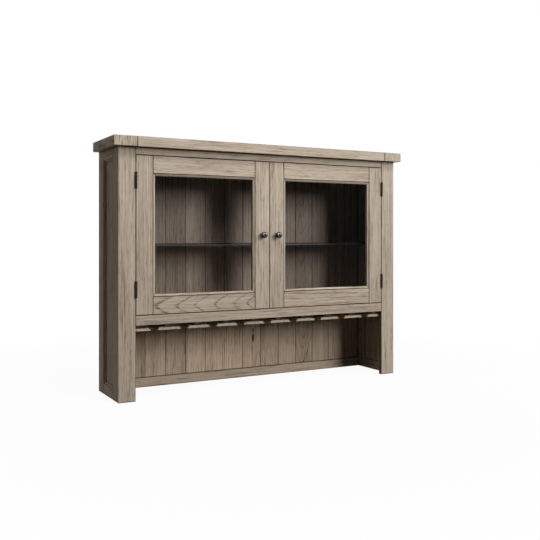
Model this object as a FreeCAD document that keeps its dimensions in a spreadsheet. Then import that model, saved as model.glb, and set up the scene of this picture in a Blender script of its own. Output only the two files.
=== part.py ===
# Glazed display cabinet with two inset doors, a glass shelf and a stemware rack above an open bay.
# Millimetres. X runs to the right, Y to the back and Z up, with the origin under the middle of the
# object's box. The left half is drawn, and what is alike on the right is its mirror image.
import FreeCAD, Part
import Sketcher
import os
import re

# Driving dimensions. Each one becomes a cell of the sheet, with its name as the alias.
SIZES = {
    # Body and top
    "body_width": 1350,
    "body_depth": 275,
    "body_height": 1010,
    "top_thickness": 40,
    "top_overhang": 25,
    "top_end_width": 95,
    "top_tongue_length": 12,
    "top_tongue_thickness": 12,
    "top_tongue_stop": 15,
    # Front frame of two posts and two rails
    "post_width": 70,
    "frame_thickness": 20,
    "top_rail_height": 30,
    "bottom_rail_height": 40,
    "bay_height": 300,
    "frame_tenon_length": 25,
    "tenon_thickness": 8,
    "tenon_shoulder": 6,
    "joint_slack": 1,
    "joint_line_width": 2,
    "joint_line_depth": 3,
    # Panelled sides
    "side_thickness": 20,
    "front_stile_width": 50,
    "rear_stile_width": 70,
    "side_top_rail_height": 40,
    "side_bottom_rail_height": 42,
    "side_tenon_length": 25,
    "panel_thickness": 8,
    "panel_inset": 9,
    "panel_groove": 6,
    "moulding_width": 10,
    "moulding_setback": 2,
    "moulding_edge": 2,
    # Back of tongued boards between two rails
    "back_rail_height": 40,
    "back_rail_thickness": 20,
    "back_recess": 3,
    "board_thickness": 10,
    "board_pitch": 95,
    "board_housing": 8,
    "board_tongue_length": 5,
    "board_tongue_thickness": 3,
    "board_tongue_play": 0.3,
    "board_vee": 1.5,
    # Floor of the glazed space, and its bearers
    "floor_thickness": 18,
    "bearer_thickness": 20,
    # Stemware rack
    "slot_width": 30,
    "rack_end_gap": 20,
    "slat_thickness": 11,
    "slat_lip": 3,
    "slat_bevel": 8,
    "web_width": 26,
    "web_height": 37,
    "web_setback": 16,
    # Glass shelf and its pins
    "shelf_thickness": 8,
    "shelf_clear_height": 276,
    "shelf_side_gap": 3,
    "shelf_back_gap": 4,
    "shelf_pin_wall": 2.5,
    "front_pin_inset": 4,
    "rear_pin_inset": 23,
    "shelf_pin_diameter": 5,
    "shelf_pin_depth": 8,
    "shelf_pin_head_diameter": 7,
    "shelf_pin_head_length": 10,
    # Doors
    "door_gap": 2,
    "door_thickness": 20,
    "door_stile_width": 70,
    "door_rail_height": 70,
    "door_tenon_length": 40,
    "door_tenon_shoulder": 10,
    "sticking_width": 10,
    "sticking_thickness": 9,
    "quirk_width": 2,
    "quirk_depth": 3,
    "bevel_start": 1,
    "bevel_end": 5,
    "pane_thickness": 4,
    "pane_play": 2,
    "bead_width": 9,
    # Knobs
    "knob_diameter": 28,
    "knob_stand": 20,
    "knob_neck_diameter": 10,
    "knob_rose_diameter": 18,
    "knob_rose_thickness": 3,
    "knob_bolt_diameter": 4,
    "knob_bolt_grip": 10,
    "knob_bolt_head_diameter": 9,
    "knob_bolt_head_height": 2.5,
    # Butt hinges
    "hinge_length": 65,
    "hinge_end_distance": 68.5,
    "barrel_diameter": 8,
    "barrel_stand": 4.3,
    "hinge_pin_diameter": 4,
    "hinge_pin_play": 0.05,
    "knuckle_gap": 0.3,
    "leaf_thickness": 1.5,
    "leaf_sink": 1,
    "leaf_width": 16,
    "screw_diameter": 3,
    "screw_length": 16,
    "screw_head_diameter": 5.6,
    "screw_head_height": 1.3,
    "screw_end_distance": 13,
    # Magnetic catches on the floor behind the doors
    "catch_width": 40,
    "catch_depth": 20,
    "catch_height": 13,
    "catch_offset": 35,
    "catch_gap": 0.3,
    "strike_thickness": 1,
    "strike_height": 10,
    # How far a cut runs past the face where it opens
    "overrun": 5,
}
KNUCKLES = 5
SLATS = 10

# Places and sizes that follow from the driving dimensions.
DERIVED = {
    "knob_reach": "knob_stand + knob_diameter / 2",
    "left": "-body_width / 2",
    "front": "-(body_depth - knob_reach) / 2",
    "back": "front + body_depth",
    "frame_back": "front + frame_thickness",
    "inner_left": "left + side_thickness",
    "inner_width": "body_width - 2 * side_thickness",
    "opening_left": "left + post_width",
    "opening_width": "body_width - 2 * post_width",
    "top_depth": "body_depth + top_overhang",
    "top_board_width": "body_width + 2 * top_overhang - 2 * top_end_width",
    "top_tongue_low": "(top_thickness - top_tongue_thickness) / 2",
    "frame_tenon_front": "(frame_thickness - tenon_thickness) / 2",
    "floor_top": "bay_height + bottom_rail_height",
    "floor_underside": "floor_top - floor_thickness",
    "side_opening": "body_depth - frame_thickness - front_stile_width - rear_stile_width",
    "side_opening_front": "frame_back + front_stile_width",
    "side_opening_height": "body_height - side_bottom_rail_height - side_top_rail_height",
    "side_tenon_left": "(side_thickness - tenon_thickness) / 2",
    "panel_reach": "panel_groove - joint_slack",
    "moulding_thickness": "panel_inset - moulding_setback",
    "boards_front": "back - back_recess - board_thickness",
    "board_tongue_front": "(board_thickness - board_tongue_thickness) / 2",
    "back_rail_front": "back - back_rail_thickness",
    "board_foot": "back_rail_height - board_housing + joint_slack",
    "board_height": "body_height - 2 * board_foot",
    "room_depth": "boards_front - frame_back",
    "rack_width": "inner_width - 2 * rack_end_gap",
    "slat_pitch": f"(rack_width + slot_width) / {SLATS}",
    "slat_width": "slat_pitch - slot_width",
    "slat_top": "floor_underside - web_height",
    "slat_underside": "slat_top - slat_thickness",
    "shelf_underside": "floor_top + shelf_clear_height",
    "front_pin_place": "side_opening_front - panel_groove - shelf_pin_wall - shelf_pin_diameter / 2",
    "shelf_front": "front_pin_place - front_pin_inset",
    "shelf_back": "boards_front - shelf_back_gap",
    "shelf_pin_level": "shelf_underside - shelf_pin_head_diameter / 2",
    "rear_pin_place": "shelf_back - rear_pin_inset",
    "door_width": "(opening_width - 3 * door_gap) / 2",
    "door_height": "body_height - top_rail_height - floor_top - 2 * door_gap",
    "door_left": "opening_left + door_gap",
    "door_bottom": "floor_top + door_gap",
    "door_middle_height": "door_bottom + door_height / 2",
    "door_middle_place": "door_left + door_width / 2",
    "door_back": "front + door_thickness",
    "door_tenon_front": "(door_thickness - tenon_thickness) / 2",
    "sight_width": "door_width - 2 * door_stile_width",
    "sight_height": "door_height - 2 * door_rail_height",
    "bead_thickness": "door_thickness - sticking_thickness - pane_thickness",
    "knob_place": "-(door_gap + door_stile_width) / 2",
    "hinge_axis": "opening_left + door_gap / 2",
    "hinge_axis_front": "front - barrel_stand",
    "lower_hinge": "door_bottom + hinge_end_distance",
    "upper_hinge": "door_bottom + door_height - hinge_end_distance - hinge_length",
    "leaf_far": "door_gap / 2 + leaf_sink",
    "leaf_near": "leaf_far - leaf_thickness",
    "bore_radius": "hinge_pin_diameter / 2 + hinge_pin_play",
    "screw_row": "barrel_stand + leaf_width / 2",
    "catch_front": "door_back + strike_thickness + catch_gap",
}

# Each plane of a body's origin: its role, and whether its normal points to the front.
PLANES = {
    "XY": ("XY_Plane", False),
    "XZ": ("XZ_Plane", True),
    "YZ": ("YZ_Plane", False),
}

doc = FreeCAD.newDocument("DisplayCabinet")
sheet = doc.addObject("Spreadsheet::Sheet", "Sizes")
nodes = []
pockets = []


def fill_sheet():
    """Writes the driving dimensions into the sheet, one row each."""
    for row, (name, size) in enumerate(SIZES.items(), start=1):
        sheet.set(f"A{row}", name)
        sheet.set(f"B{row}", str(size))
        sheet.setAlias(f"B{row}", name)
    doc.recompute()


def bind(text):
    """Turns the plain names in a text into references to the sheet's cells."""
    def reference(match):
        name = match.group()
        if name in SIZES:
            return f"Sizes.{name}"
        return f"({bind(DERIVED[name])})"
    return re.sub(r"[a-z][a-z_]*", reference, text)


def value(text):
    """The present value of such a text, in millimetres."""
    return float(sheet.evalExpression(bind(text)))


def place(item, x, y, z):
    """Ties the placement of an object to the sheet."""
    for axis, text in zip("xyz", (x, y, z)):
        item.setExpression(f"Placement.Base.{axis}", bind(text))


def new_body(name, x, y, z):
    """Starts one piece, with its own origin at the given place."""
    body = doc.addObject("PartDesign::Body", name)
    body.Label = name
    place(body, x, y, z)
    return body


def new_sketch(body, plane, offset):
    """Attaches a sketch to one plane of the body's own origin, at an offset along X, Y and Z."""
    role, faces_front = PLANES[plane]
    planes = [item for item in body.Origin.OriginFeatures if item.Role == role]
    sketch = body.newObject("Sketcher::SketchObject", f"{body.Name}_sketch")
    sketch.AttachmentSupport = (planes[0], [""])
    sketch.MapMode = "FlatFace"
    x, y, z = offset
    across, along, away = {"XY": (x, y, z), "XZ": (x, z, y), "YZ": (y, z, x)}[plane]
    if faces_front:
        away = f"-({away})"
    for axis, text in zip("xyz", (across, along, away)):
        sketch.setExpression(f"AttachmentOffset.Base.{axis}", bind(text))
    return sketch


def fix_point(sketch, edge, point, across, along):
    """Ties one point of a sketch to its two coordinates: 1 is a line's start, 3 a circle's centre."""
    for kind, text in (("DistanceX", across), ("DistanceY", along)):
        number = sketch.addConstraint(Sketcher.Constraint(kind, edge, point, value(text)))
        sketch.setExpression(f"Constraints[{number}]", bind(text))


def draw_outline(sketch, outline):
    """Draws a closed outline of straight lines through the given points."""
    points = [FreeCAD.Vector(value(across), value(along), 0) for across, along in outline]
    lines = [Part.LineSegment(one, two) for one, two in zip(points, points[1:] + points[:1])]
    sketch.addGeometry(lines, False)
    for line in range(len(lines)):
        following = (line + 1) % len(lines)
        sketch.addConstraint(Sketcher.Constraint("Coincident", line, 2, following, 1))
    for line, (across, along) in enumerate(outline):
        fix_point(sketch, line, 1, across, along)


def draw_circle(sketch, across, along, radius):
    """Draws one circle."""
    middle = FreeCAD.Vector(value(across), value(along), 0)
    sketch.addGeometry(Part.Circle(middle, FreeCAD.Vector(0, 0, 1), value(radius)), False)
    fix_point(sketch, 0, 3, across, along)
    number = sketch.addConstraint(Sketcher.Constraint("Radius", 0, value(radius)))
    sketch.setExpression(f"Constraints[{number}]", bind(radius))


def extrude(body, sketch, plane, length, cut):
    """Pads or pockets a sketch towards the positive side of its plane."""
    _, faces_front = PLANES[plane]
    kind = "PartDesign::Pocket" if cut else "PartDesign::Pad"
    feature = body.newObject(kind, f"{body.Name}_feature")
    feature.Profile = sketch
    feature.setExpression("Length", bind(length))
    feature.Reversed = faces_front != cut
    if cut:
        pockets.append(feature)


def prism(body, plane, outline, start, length, cut=False):
    """Adds or cuts a straight prism that begins at a distance from the plane."""
    offset = {"XY": ("0", "0", start), "XZ": ("0", start, "0"), "YZ": (start, "0", "0")}[plane]
    sketch = new_sketch(body, plane, offset)
    draw_outline(sketch, outline)
    extrude(body, sketch, plane, length, cut)


def round_bar(body, plane, middle, radius, start, length, cut=False):
    """Adds or cuts a cylinder, with its middle given in the plane."""
    offset = {"XY": ("0", "0", start), "XZ": ("0", start, "0"), "YZ": (start, "0", "0")}[plane]
    sketch = new_sketch(body, plane, offset)
    draw_circle(sketch, middle[0], middle[1], radius)
    extrude(body, sketch, plane, length, cut)


def turned(body, outline, axis, offset=("0", "0", "0"), cut=False):
    """Turns an outline of the XY plane about one of the sketch's axes."""
    sketch = new_sketch(body, "XY", offset)
    draw_outline(sketch, outline)
    kind = "PartDesign::Groove" if cut else "PartDesign::Revolution"
    feature = body.newObject(kind, f"{body.Name}_turned")
    feature.Profile = sketch
    feature.ReferenceAxis = (sketch, [axis])
    feature.Angle = 360
    if cut:
        pockets.append(feature)


def rectangle(low_across, low_along, high_across, high_along):
    """The four corners of a rectangle, from two of them."""
    return [
        (low_across, low_along),
        (high_across, low_along),
        (high_across, high_along),
        (low_across, high_along),
    ]


def board(name, corner, lengths):
    """A plain board, from its low corner and its lengths along X, Y and Z."""
    body = new_body(name, *corner)
    prism(body, "XY", rectangle("0", "0", lengths[0], lengths[1]), "0", lengths[2])
    return body


def mirrored(source, name, normal=(1, 0, 0), base=("0", "0", "0")):
    """The mirror image of a piece or a group, in the middle plane unless another is given."""
    twin = doc.addObject("Part::Mirroring", name)
    twin.Label = name
    twin.Source = source
    twin.Normal = FreeCAD.Vector(*normal)
    for axis, text in zip("xyz", base):
        twin.setExpression(f"Base.{axis}", bind(text))
    return twin


def group(name, items):
    """Several separate solids under one name."""
    together = doc.addObject("Part::Compound", name)
    together.Label = name
    together.Links = items
    return together


def keep(*items):
    """Lists finished sub-parts for export."""
    nodes.extend(items)


def keep_pair(item):
    """Lists a left-hand sub-part and its right-hand twin."""
    keep(item, mirrored(item, item.Label.replace("left", "right")))


def joint_line(end, hand, width, depth, face="0", into=1):
    """The section of a fine line cut beside a joint. Its hand is 1 where the piece lies beyond the end."""
    near, far = f"{end}", f"{end} + {hand} * {width}"
    outside = f"{face} - {into} * overrun"
    return [(near, outside), (far, outside), (far, face), (near, f"{face} + {into} * {depth}")]


def cut_joint_lines(rail, length, height, width="joint_line_width", depth="joint_line_depth"):
    """Cuts the line that shows at each end of a rail, up its front."""
    for end, hand in (("0", 1), (length, -1)):
        prism(rail, "XY", joint_line(end, hand, width, depth), "0", height, cut=True)


def make_top():
    """The thick top: a long board between two ends whose grain runs from front to back."""
    main = new_body("top_board", "-top_board_width / 2", "front - top_overhang", "body_height")
    prism(main, "XY", rectangle("0", "0", "top_board_width", "top_depth"), "0", "top_thickness")
    tongues = rectangle(
        "-top_tongue_length", "top_tongue_stop",
        "top_board_width + top_tongue_length", "top_depth - top_tongue_stop",
    )
    prism(main, "XY", tongues, "top_tongue_low", "top_tongue_thickness")
    cut_joint_lines(main, "top_board_width", "top_thickness")
    for side, hand in (("0", 1), ("top_board_width", -1)):
        upper = joint_line(side, hand, "joint_line_width", "joint_line_depth", "top_thickness", -1)
        prism(main, "XZ", upper, "0", "top_depth", cut=True)
    end = board(
        "top_end_left",
        ("left - top_overhang", "front - top_overhang", "body_height"),
        ("top_end_width", "top_depth", "top_thickness"),
    )
    groove = rectangle(
        "top_end_width - top_tongue_length - joint_slack", "top_tongue_stop - joint_slack",
        "top_end_width + overrun", "top_depth - top_tongue_stop + joint_slack",
    )
    prism(end, "XY", groove, "top_tongue_low", "top_tongue_thickness", cut=True)
    keep(main)
    keep_pair(end)


def make_front_rail(name, level, height):
    """A rail of the front frame, with a tenon at each end."""
    rail = new_body(name, "opening_left", "front", level)
    prism(rail, "XZ", rectangle("0", "0", "opening_width", height), "0", "frame_thickness")
    tenons = rectangle(
        "-frame_tenon_length", "tenon_shoulder",
        "opening_width + frame_tenon_length", f"{height} - tenon_shoulder",
    )
    prism(rail, "XZ", tenons, "frame_tenon_front", "tenon_thickness")
    cut_joint_lines(rail, "opening_width", height)
    keep(rail)


def make_post():
    """A front post with mortises for the two rails and a bed for each hinge leaf."""
    post = new_body("front_post_left", "left", "front", "0")
    prism(post, "XZ", rectangle("0", "0", "post_width", "body_height"), "0", "frame_thickness")
    for level, height in (
        ("bay_height", "bottom_rail_height"),
        ("body_height - top_rail_height", "top_rail_height"),
    ):
        mortise = rectangle(
            "post_width - frame_tenon_length - joint_slack", f"{level} + tenon_shoulder",
            "post_width + overrun", f"{level} + {height} - tenon_shoulder",
        )
        prism(post, "XZ", mortise, "frame_tenon_front", "tenon_thickness", cut=True)
    for level in ("lower_hinge", "upper_hinge"):
        bed = rectangle("post_width - leaf_sink", level, "post_width + overrun", f"{level} + hinge_length")
        prism(post, "XZ", bed, "-overrun", "overrun + leaf_width", cut=True)
        for screw in screw_levels(level):
            round_bar(
                post, "YZ", ("leaf_width / 2", screw), "screw_diameter / 2",
                "post_width - screw_length", "screw_length + overrun", cut=True,
            )
    keep_pair(post)


def screw_levels(level):
    """The heights of the two screws in a hinge leaf that begins at a level."""
    return (f"{level} + screw_end_distance", f"{level} + hinge_length - screw_end_distance")


def side_rail_tenon(height, grooved_below):
    """The lowest and highest level of a side rail's tenon, which stays clear of the panel."""
    grooved = "panel_groove + joint_slack"
    if grooved_below:
        return grooved, f"{height} - tenon_shoulder"
    return "tenon_shoulder", f"{height} - ({grooved})"


def make_side_rail(name, level, height, grooved_below):
    """A rail of the side, with tenons and the groove that holds the panel."""
    rail = new_body(name, "left", "side_opening_front", level)
    prism(rail, "YZ", rectangle("0", "0", "side_opening", height), "0", "side_thickness")
    low, high = side_rail_tenon(height, grooved_below)
    tenons = rectangle("-side_tenon_length", low, "side_opening + side_tenon_length", high)
    prism(rail, "YZ", tenons, "side_tenon_left", "tenon_thickness")
    groove_low, groove_high = f"{height} - panel_groove", f"{height} + overrun"
    if grooved_below:
        groove_low, groove_high = "-overrun", "panel_groove"
    groove = rectangle("-overrun", groove_low, "side_opening + overrun", groove_high)
    prism(rail, "YZ", groove, "panel_inset", "panel_thickness", cut=True)
    for end, hand in (("0", 1), ("side_opening", -1)):
        line = joint_line(end, hand, "joint_line_width", "joint_line_depth")
        prism(rail, "XY", [(along, across) for across, along in line], "0", height, cut=True)
    keep_pair(rail)


def make_side_stile(name, place_front, width, opens_behind, pin_place):
    """A stile of the side, with mortises, the panel's groove and a hole for a shelf pin."""
    stile = board(name, ("left", place_front, "0"), ("side_thickness", width, "body_height"))
    near, far = (f"{width} - panel_groove", f"{width} + overrun")
    deep_near, deep_far = (f"{width} - side_tenon_length - joint_slack", f"{width} + overrun")
    if not opens_behind:
        near, far = ("-overrun", "panel_groove")
        deep_near, deep_far = ("-overrun", "side_tenon_length + joint_slack")
    groove = rectangle("panel_inset", near, "panel_inset + panel_thickness", far)
    prism(
        stile, "XY", groove, "side_bottom_rail_height - panel_groove",
        "side_opening_height + 2 * panel_groove", cut=True,
    )
    for level, height, grooved_below in (
        ("0", "side_bottom_rail_height", False),
        ("body_height - side_top_rail_height", "side_top_rail_height", True),
    ):
        low, high = side_rail_tenon(height, grooved_below)
        mortise = rectangle(deep_near, f"{level} + {low}", deep_far, f"{level} + {high}")
        prism(stile, "YZ", mortise, "side_tenon_left", "tenon_thickness", cut=True)
    round_bar(
        stile, "YZ", (f"{pin_place} - ({place_front})", "shelf_pin_level"), "shelf_pin_diameter / 2",
        "side_thickness - shelf_pin_depth", "shelf_pin_depth + overrun", cut=True,
    )
    keep_pair(stile)


def make_side_panel():
    """The thin panel that floats in the grooves of the side."""
    keep_pair(board(
        "side_panel_left",
        (
            "left + panel_inset",
            "side_opening_front - panel_reach",
            "side_bottom_rail_height - panel_reach",
        ),
        ("panel_thickness", "side_opening + 2 * panel_reach", "side_opening_height + 2 * panel_reach"),
    ))


def make_side_moulding():
    """Bevelled strips round the outer face of each side panel, mitred at the corners."""
    corner = ("left + moulding_setback", "side_opening_front", "side_bottom_rail_height")
    slope = [
        ("0", "0"),
        ("moulding_thickness - moulding_edge", "moulding_width"),
        ("moulding_thickness - moulding_edge", "moulding_width + overrun"),
        ("-overrun", "moulding_width + overrun"),
        ("-overrun", "0"),
    ]
    low = new_body("moulding_low", *corner)
    prism(low, "YZ", mitred("side_opening", "moulding_width"), "0", "moulding_thickness")
    prism(low, "XZ", slope, "0", "side_opening", cut=True)
    near = new_body("moulding_near", *corner)
    upright = [(along, across) for across, along in mitred("side_opening_height", "moulding_width")]
    prism(near, "YZ", upright, "0", "moulding_thickness")
    prism(near, "XY", slope, "0", "side_opening_height", cut=True)
    high = mirrored(
        low, "moulding_high", (0, 0, 1),
        ("0", "0", "side_bottom_rail_height + side_opening_height / 2"),
    )
    far = mirrored(near, "moulding_far", (0, 1, 0), ("0", "side_opening_front + side_opening / 2", "0"))
    left = group("mouldings_left", [low, near, high, far])
    keep(group("side_mouldings", [left, mirrored(left, "mouldings_right")]))


def mitred(length, width):
    """The outline of a strip with mitred ends, its long edge on the first axis."""
    return [("0", "0"), (length, "0"), (f"{length} - {width}", width), (width, width)]


def make_back_rail(name, level, grooved_below):
    """A rail across the back, grooved for the ends of the boards."""
    rail = board(
        name, ("inner_left", "back_rail_front", level),
        ("inner_width", "back_rail_thickness", "back_rail_height"),
    )
    start = "-overrun" if grooved_below else "back_rail_height - board_housing"
    groove = rectangle(
        "-overrun", "back_rail_thickness - back_recess - board_thickness",
        "inner_width + overrun", "back_rail_thickness - back_recess",
    )
    prism(rail, "XY", groove, start, "board_housing + overrun", cut=True)
    keep(rail)


def board_outline(width, tongued, grooved):
    """The section of a back board: a vee at each front corner, a tongue right and a groove left."""
    tongue_back = "board_tongue_front + board_tongue_thickness"
    right = [(width, "0")]
    if tongued:
        right = [
            (f"{width} - board_vee", "0"),
            (width, "board_vee"),
            (width, "board_tongue_front"),
            (f"{width} + board_tongue_length", "board_tongue_front"),
            (f"{width} + board_tongue_length", tongue_back),
            (width, tongue_back),
        ]
    left = [("0", "0")]
    if grooved:
        left = [
            ("0", f"{tongue_back} + board_tongue_play"),
            ("board_tongue_length + joint_slack", f"{tongue_back} + board_tongue_play"),
            ("board_tongue_length + joint_slack", "board_tongue_front - board_tongue_play"),
            ("0", "board_tongue_front - board_tongue_play"),
            ("0", "board_vee"),
            ("board_vee", "0"),
        ]
    return right + [(width, "board_thickness"), ("0", "board_thickness")] + left


def make_back_boards():
    """Upright boards with tongued and veed joints, counted out from the middle of the back."""
    half = value("inner_width / 2")
    whole = int(half // value("board_pitch"))
    rest = f"inner_width / 2 - {whole} * board_pitch"
    boards = []
    for count in range(-whole - 1, whole + 1):
        first, last = count == -whole - 1, count == whole
        start = f"{count} * board_pitch"
        width = "board_pitch"
        if first:
            start = "-inner_width / 2"
        if first or last:
            width = rest
        piece = new_body("back_board", start, "boards_front", "board_foot")
        prism(piece, "XY", board_outline(width, not last, not first), "0", "board_height")
        if count in (-1, 0):
            round_bar(
                piece, "XZ", ("board_pitch / 2", "shelf_pin_level - board_foot"),
                "shelf_pin_diameter / 2", "-overrun", "overrun + shelf_pin_depth", cut=True,
            )
        boards.append(piece)
    keep(group("back_boards", boards))


def make_floor():
    """The floor of the glazed space, and a bearer under each end of it."""
    keep(board(
        "cabinet_floor", ("inner_left", "frame_back", "floor_underside"),
        ("inner_width", "room_depth", "floor_thickness"),
    ))
    bearer = board(
        "bearer_left", ("inner_left", "frame_back", "floor_underside - bearer_thickness"),
        ("bearer_thickness", "room_depth", "bearer_thickness"),
    )
    keep(group("floor_bearers", [bearer, mirrored(bearer, "bearer_right")]))


def make_rack():
    """Slats hung from the floor by narrow webs, so that glass feet slide in between."""
    section = [
        ("0", "0"),
        ("slat_width", "0"),
        ("slat_width", "slat_lip"),
        ("slat_width - slat_bevel", "slat_thickness"),
        ("slat_bevel", "slat_thickness"),
        ("0", "slat_lip"),
    ]
    webs = []
    for index in range(SLATS):
        middle = f"({2 * index - SLATS + 1} * slat_pitch / 2)"
        slat = new_body(
            f"rack_slat_{index + 1}", f"{middle} - slat_width / 2", "frame_back", "slat_underside",
        )
        prism(slat, "XZ", section, "0", "room_depth")
        keep(slat)
        webs.append(board(
            f"rack_web_{index + 1}",
            (f"{middle} - web_width / 2", "frame_back + web_setback", "slat_top"),
            ("web_width", "room_depth - web_setback", "web_height"),
        ))
    keep(group("rack_webs", webs))


def make_shelf():
    """One clear glass shelf on four side pins and two pins in the back boards."""
    keep(board(
        "glass_shelf", ("inner_left + shelf_side_gap", "shelf_front", "shelf_underside"),
        ("inner_width - 2 * shelf_side_gap", "shelf_back - shelf_front", "shelf_thickness"),
    ))
    pins = []
    for spot in ("front_pin_place", "rear_pin_place"):
        pin = new_body("side_pin", "inner_left", spot, "shelf_pin_level")
        turned(pin, pin_outline(), "H_Axis")
        pins += [pin, mirrored(pin, "side_pin_right")]
    middle = new_body("back_pin", "-board_pitch / 2", "boards_front", "shelf_pin_level")
    outline = [(across, f"-({along})") for along, across in pin_outline()]
    turned(middle, outline, "V_Axis")
    pins += [middle, mirrored(middle, "back_pin_right")]
    keep(group("shelf_pins", pins))


def pin_outline():
    """Half of a shelf pin's section: a thin end in its hole and a thicker end under the glass."""
    return [
        ("-shelf_pin_depth", "0"),
        ("-shelf_pin_depth", "shelf_pin_diameter / 2"),
        ("0", "shelf_pin_diameter / 2"),
        ("0", "shelf_pin_head_diameter / 2"),
        ("shelf_pin_head_length", "shelf_pin_head_diameter / 2"),
        ("shelf_pin_head_length", "0"),
    ]


def sticking_outline(edge):
    """What is cut from the front of a frame member beside its flat: a quirk and then a bevel."""
    return [
        (edge, "-overrun"),
        (edge, "quirk_depth"),
        (f"{edge} + quirk_width", "bevel_start"),
        (f"{edge} + sticking_width", "bevel_end"),
        (f"{edge} + sticking_width + overrun", "bevel_end"),
        (f"{edge} + sticking_width + overrun", "-overrun"),
    ]


def make_door_stile(name, place_left, hand):
    """A stile of the door, from its outer edge. Its hand is 1 with the pane on its right, or -1."""
    stile = new_body(name, place_left, "front", "door_bottom")
    flat = rectangle("0", "0", "door_stile_width", "door_height")
    lip = [
        ("door_stile_width", "door_rail_height"),
        ("door_stile_width + sticking_width", "door_rail_height + sticking_width"),
        ("door_stile_width + sticking_width", "door_height - door_rail_height - sticking_width"),
        ("door_stile_width", "door_height - door_rail_height"),
    ]
    prism(stile, "XZ", turned_to(hand, flat), "0", "door_thickness")
    prism(stile, "XZ", turned_to(hand, lip), "0", "sticking_thickness")
    prism(stile, "XY", turned_to(hand, sticking_outline("door_stile_width")), "0", "door_height", cut=True)
    for level in ("0", "door_height - door_rail_height"):
        mortise = rectangle(
            "door_stile_width - door_tenon_length - joint_slack", f"{level} + door_tenon_shoulder",
            "door_stile_width", f"{level} + door_rail_height - door_tenon_shoulder",
        )
        prism(stile, "XZ", turned_to(hand, mortise), "door_tenon_front", "tenon_thickness", cut=True)
    return stile


def turned_to(hand, outline):
    """An outline, mirrored across its first axis where the hand is -1."""
    return [(f"{hand} * ({across})", along) for across, along in outline]


def make_hinge_stile():
    """The outer stile, with a bed and two screw holes for each hinge leaf."""
    stile = make_door_stile("left_door_hinge_stile", "door_left", 1)
    for level in ("hinge_end_distance", "door_height - hinge_end_distance - hinge_length"):
        bed = rectangle("-overrun", level, "leaf_sink", f"{level} + hinge_length")
        prism(stile, "XZ", bed, "-overrun", "overrun + leaf_width", cut=True)
        for screw in screw_levels(level):
            round_bar(
                stile, "YZ", ("leaf_width / 2", screw), "screw_diameter / 2",
                "-overrun", "overrun + screw_length", cut=True,
            )
    keep_pair(stile)


def make_meeting_stile():
    """The stile at the middle of the cabinet, bored for the knob's bolt."""
    stile = make_door_stile("left_door_meeting_stile", "-door_gap / 2", -1)
    round_bar(
        stile, "XZ", ("-door_stile_width / 2", "door_height / 2"), "knob_bolt_diameter / 2",
        "-overrun", "door_thickness + 2 * overrun", cut=True,
    )
    keep_pair(stile)


def make_door_rails():
    """The bottom rail of the door, with its tenons, and the top rail as its mirror image."""
    rail = new_body(
        "left_door_bottom_rail", "door_left + door_stile_width", "front", "door_bottom",
    )
    lip = [
        ("0", "door_rail_height"),
        ("sight_width", "door_rail_height"),
        ("sight_width - sticking_width", "door_rail_height + sticking_width"),
        ("sticking_width", "door_rail_height + sticking_width"),
    ]
    tenons = rectangle(
        "-door_tenon_length", "door_tenon_shoulder",
        "sight_width + door_tenon_length", "door_rail_height - door_tenon_shoulder",
    )
    prism(rail, "XZ", rectangle("0", "0", "sight_width", "door_rail_height"), "0", "door_thickness")
    prism(rail, "XZ", lip, "0", "sticking_thickness")
    sticking = [(along, across) for across, along in sticking_outline("door_rail_height")]
    prism(rail, "YZ", sticking, "0", "sight_width", cut=True)
    prism(rail, "XZ", tenons, "door_tenon_front", "tenon_thickness")
    cut_joint_lines(rail, "sight_width", "door_rail_height", "quirk_width", "quirk_depth")
    top = mirrored(rail, "left_door_top_rail", (0, 0, 1), ("0", "0", "door_middle_height"))
    keep_pair(rail)
    keep_pair(top)


def make_pane():
    """The pane in its rebate, and the four mitred beads that hold it from behind."""
    keep_pair(board(
        "left_door_pane",
        (
            "door_left + door_stile_width + pane_play",
            "front + sticking_thickness",
            "door_bottom + door_rail_height + pane_play",
        ),
        ("sight_width - 2 * pane_play", "pane_thickness", "sight_height - 2 * pane_play"),
    ))
    corner = (
        "door_left + door_stile_width",
        "door_back - bead_thickness",
        "door_bottom + door_rail_height",
    )
    low = new_body("bead_low", *corner)
    prism(low, "XZ", mitred("sight_width", "bead_width"), "0", "bead_thickness")
    near = new_body("bead_near", *corner)
    upright = [(along, across) for across, along in mitred("sight_height", "bead_width")]
    prism(near, "XZ", upright, "0", "bead_thickness")
    high = mirrored(low, "bead_high", (0, 0, 1), ("0", "0", "door_middle_height"))
    far = mirrored(near, "bead_far", (1, 0, 0), ("door_middle_place", "0", "0"))
    keep_pair(group("left_door_beads", [low, near, high, far]))


def make_knob():
    """A ball knob on a short neck and a round rose, bored for its bolt."""
    ball = doc.addObject("Part::Sphere", "knob_ball")
    ball.setExpression("Radius", bind("knob_diameter / 2"))
    place(ball, "knob_place", "front - knob_stand", "door_middle_height")
    stem = new_body("knob_stem", "knob_place", "front", "door_middle_height")
    turned(stem, [
        ("0", "0"),
        ("knob_rose_diameter / 2", "0"),
        ("knob_rose_diameter / 2", "-knob_rose_thickness / 2"),
        ("knob_neck_diameter / 2", "-knob_rose_thickness"),
        ("knob_neck_diameter / 2", "-knob_stand"),
        ("0", "-knob_stand"),
    ], "V_Axis")
    whole = doc.addObject("Part::MultiFuse", "knob_whole")
    whole.Shapes = [ball, stem]
    bore = doc.addObject("Part::Cylinder", "knob_bore")
    bore.setExpression("Radius", bind("knob_bolt_diameter / 2"))
    bore.setExpression("Height", bind("knob_bolt_grip + overrun"))
    bore.Placement.Rotation = FreeCAD.Rotation(FreeCAD.Vector(1, 0, 0), 90)
    place(bore, "knob_place", "front + overrun", "door_middle_height")
    knob = doc.addObject("Part::Cut", "left_door_knob")
    knob.Label = "left_door_knob"
    knob.Base = whole
    knob.Tool = bore
    keep_pair(knob)


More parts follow.
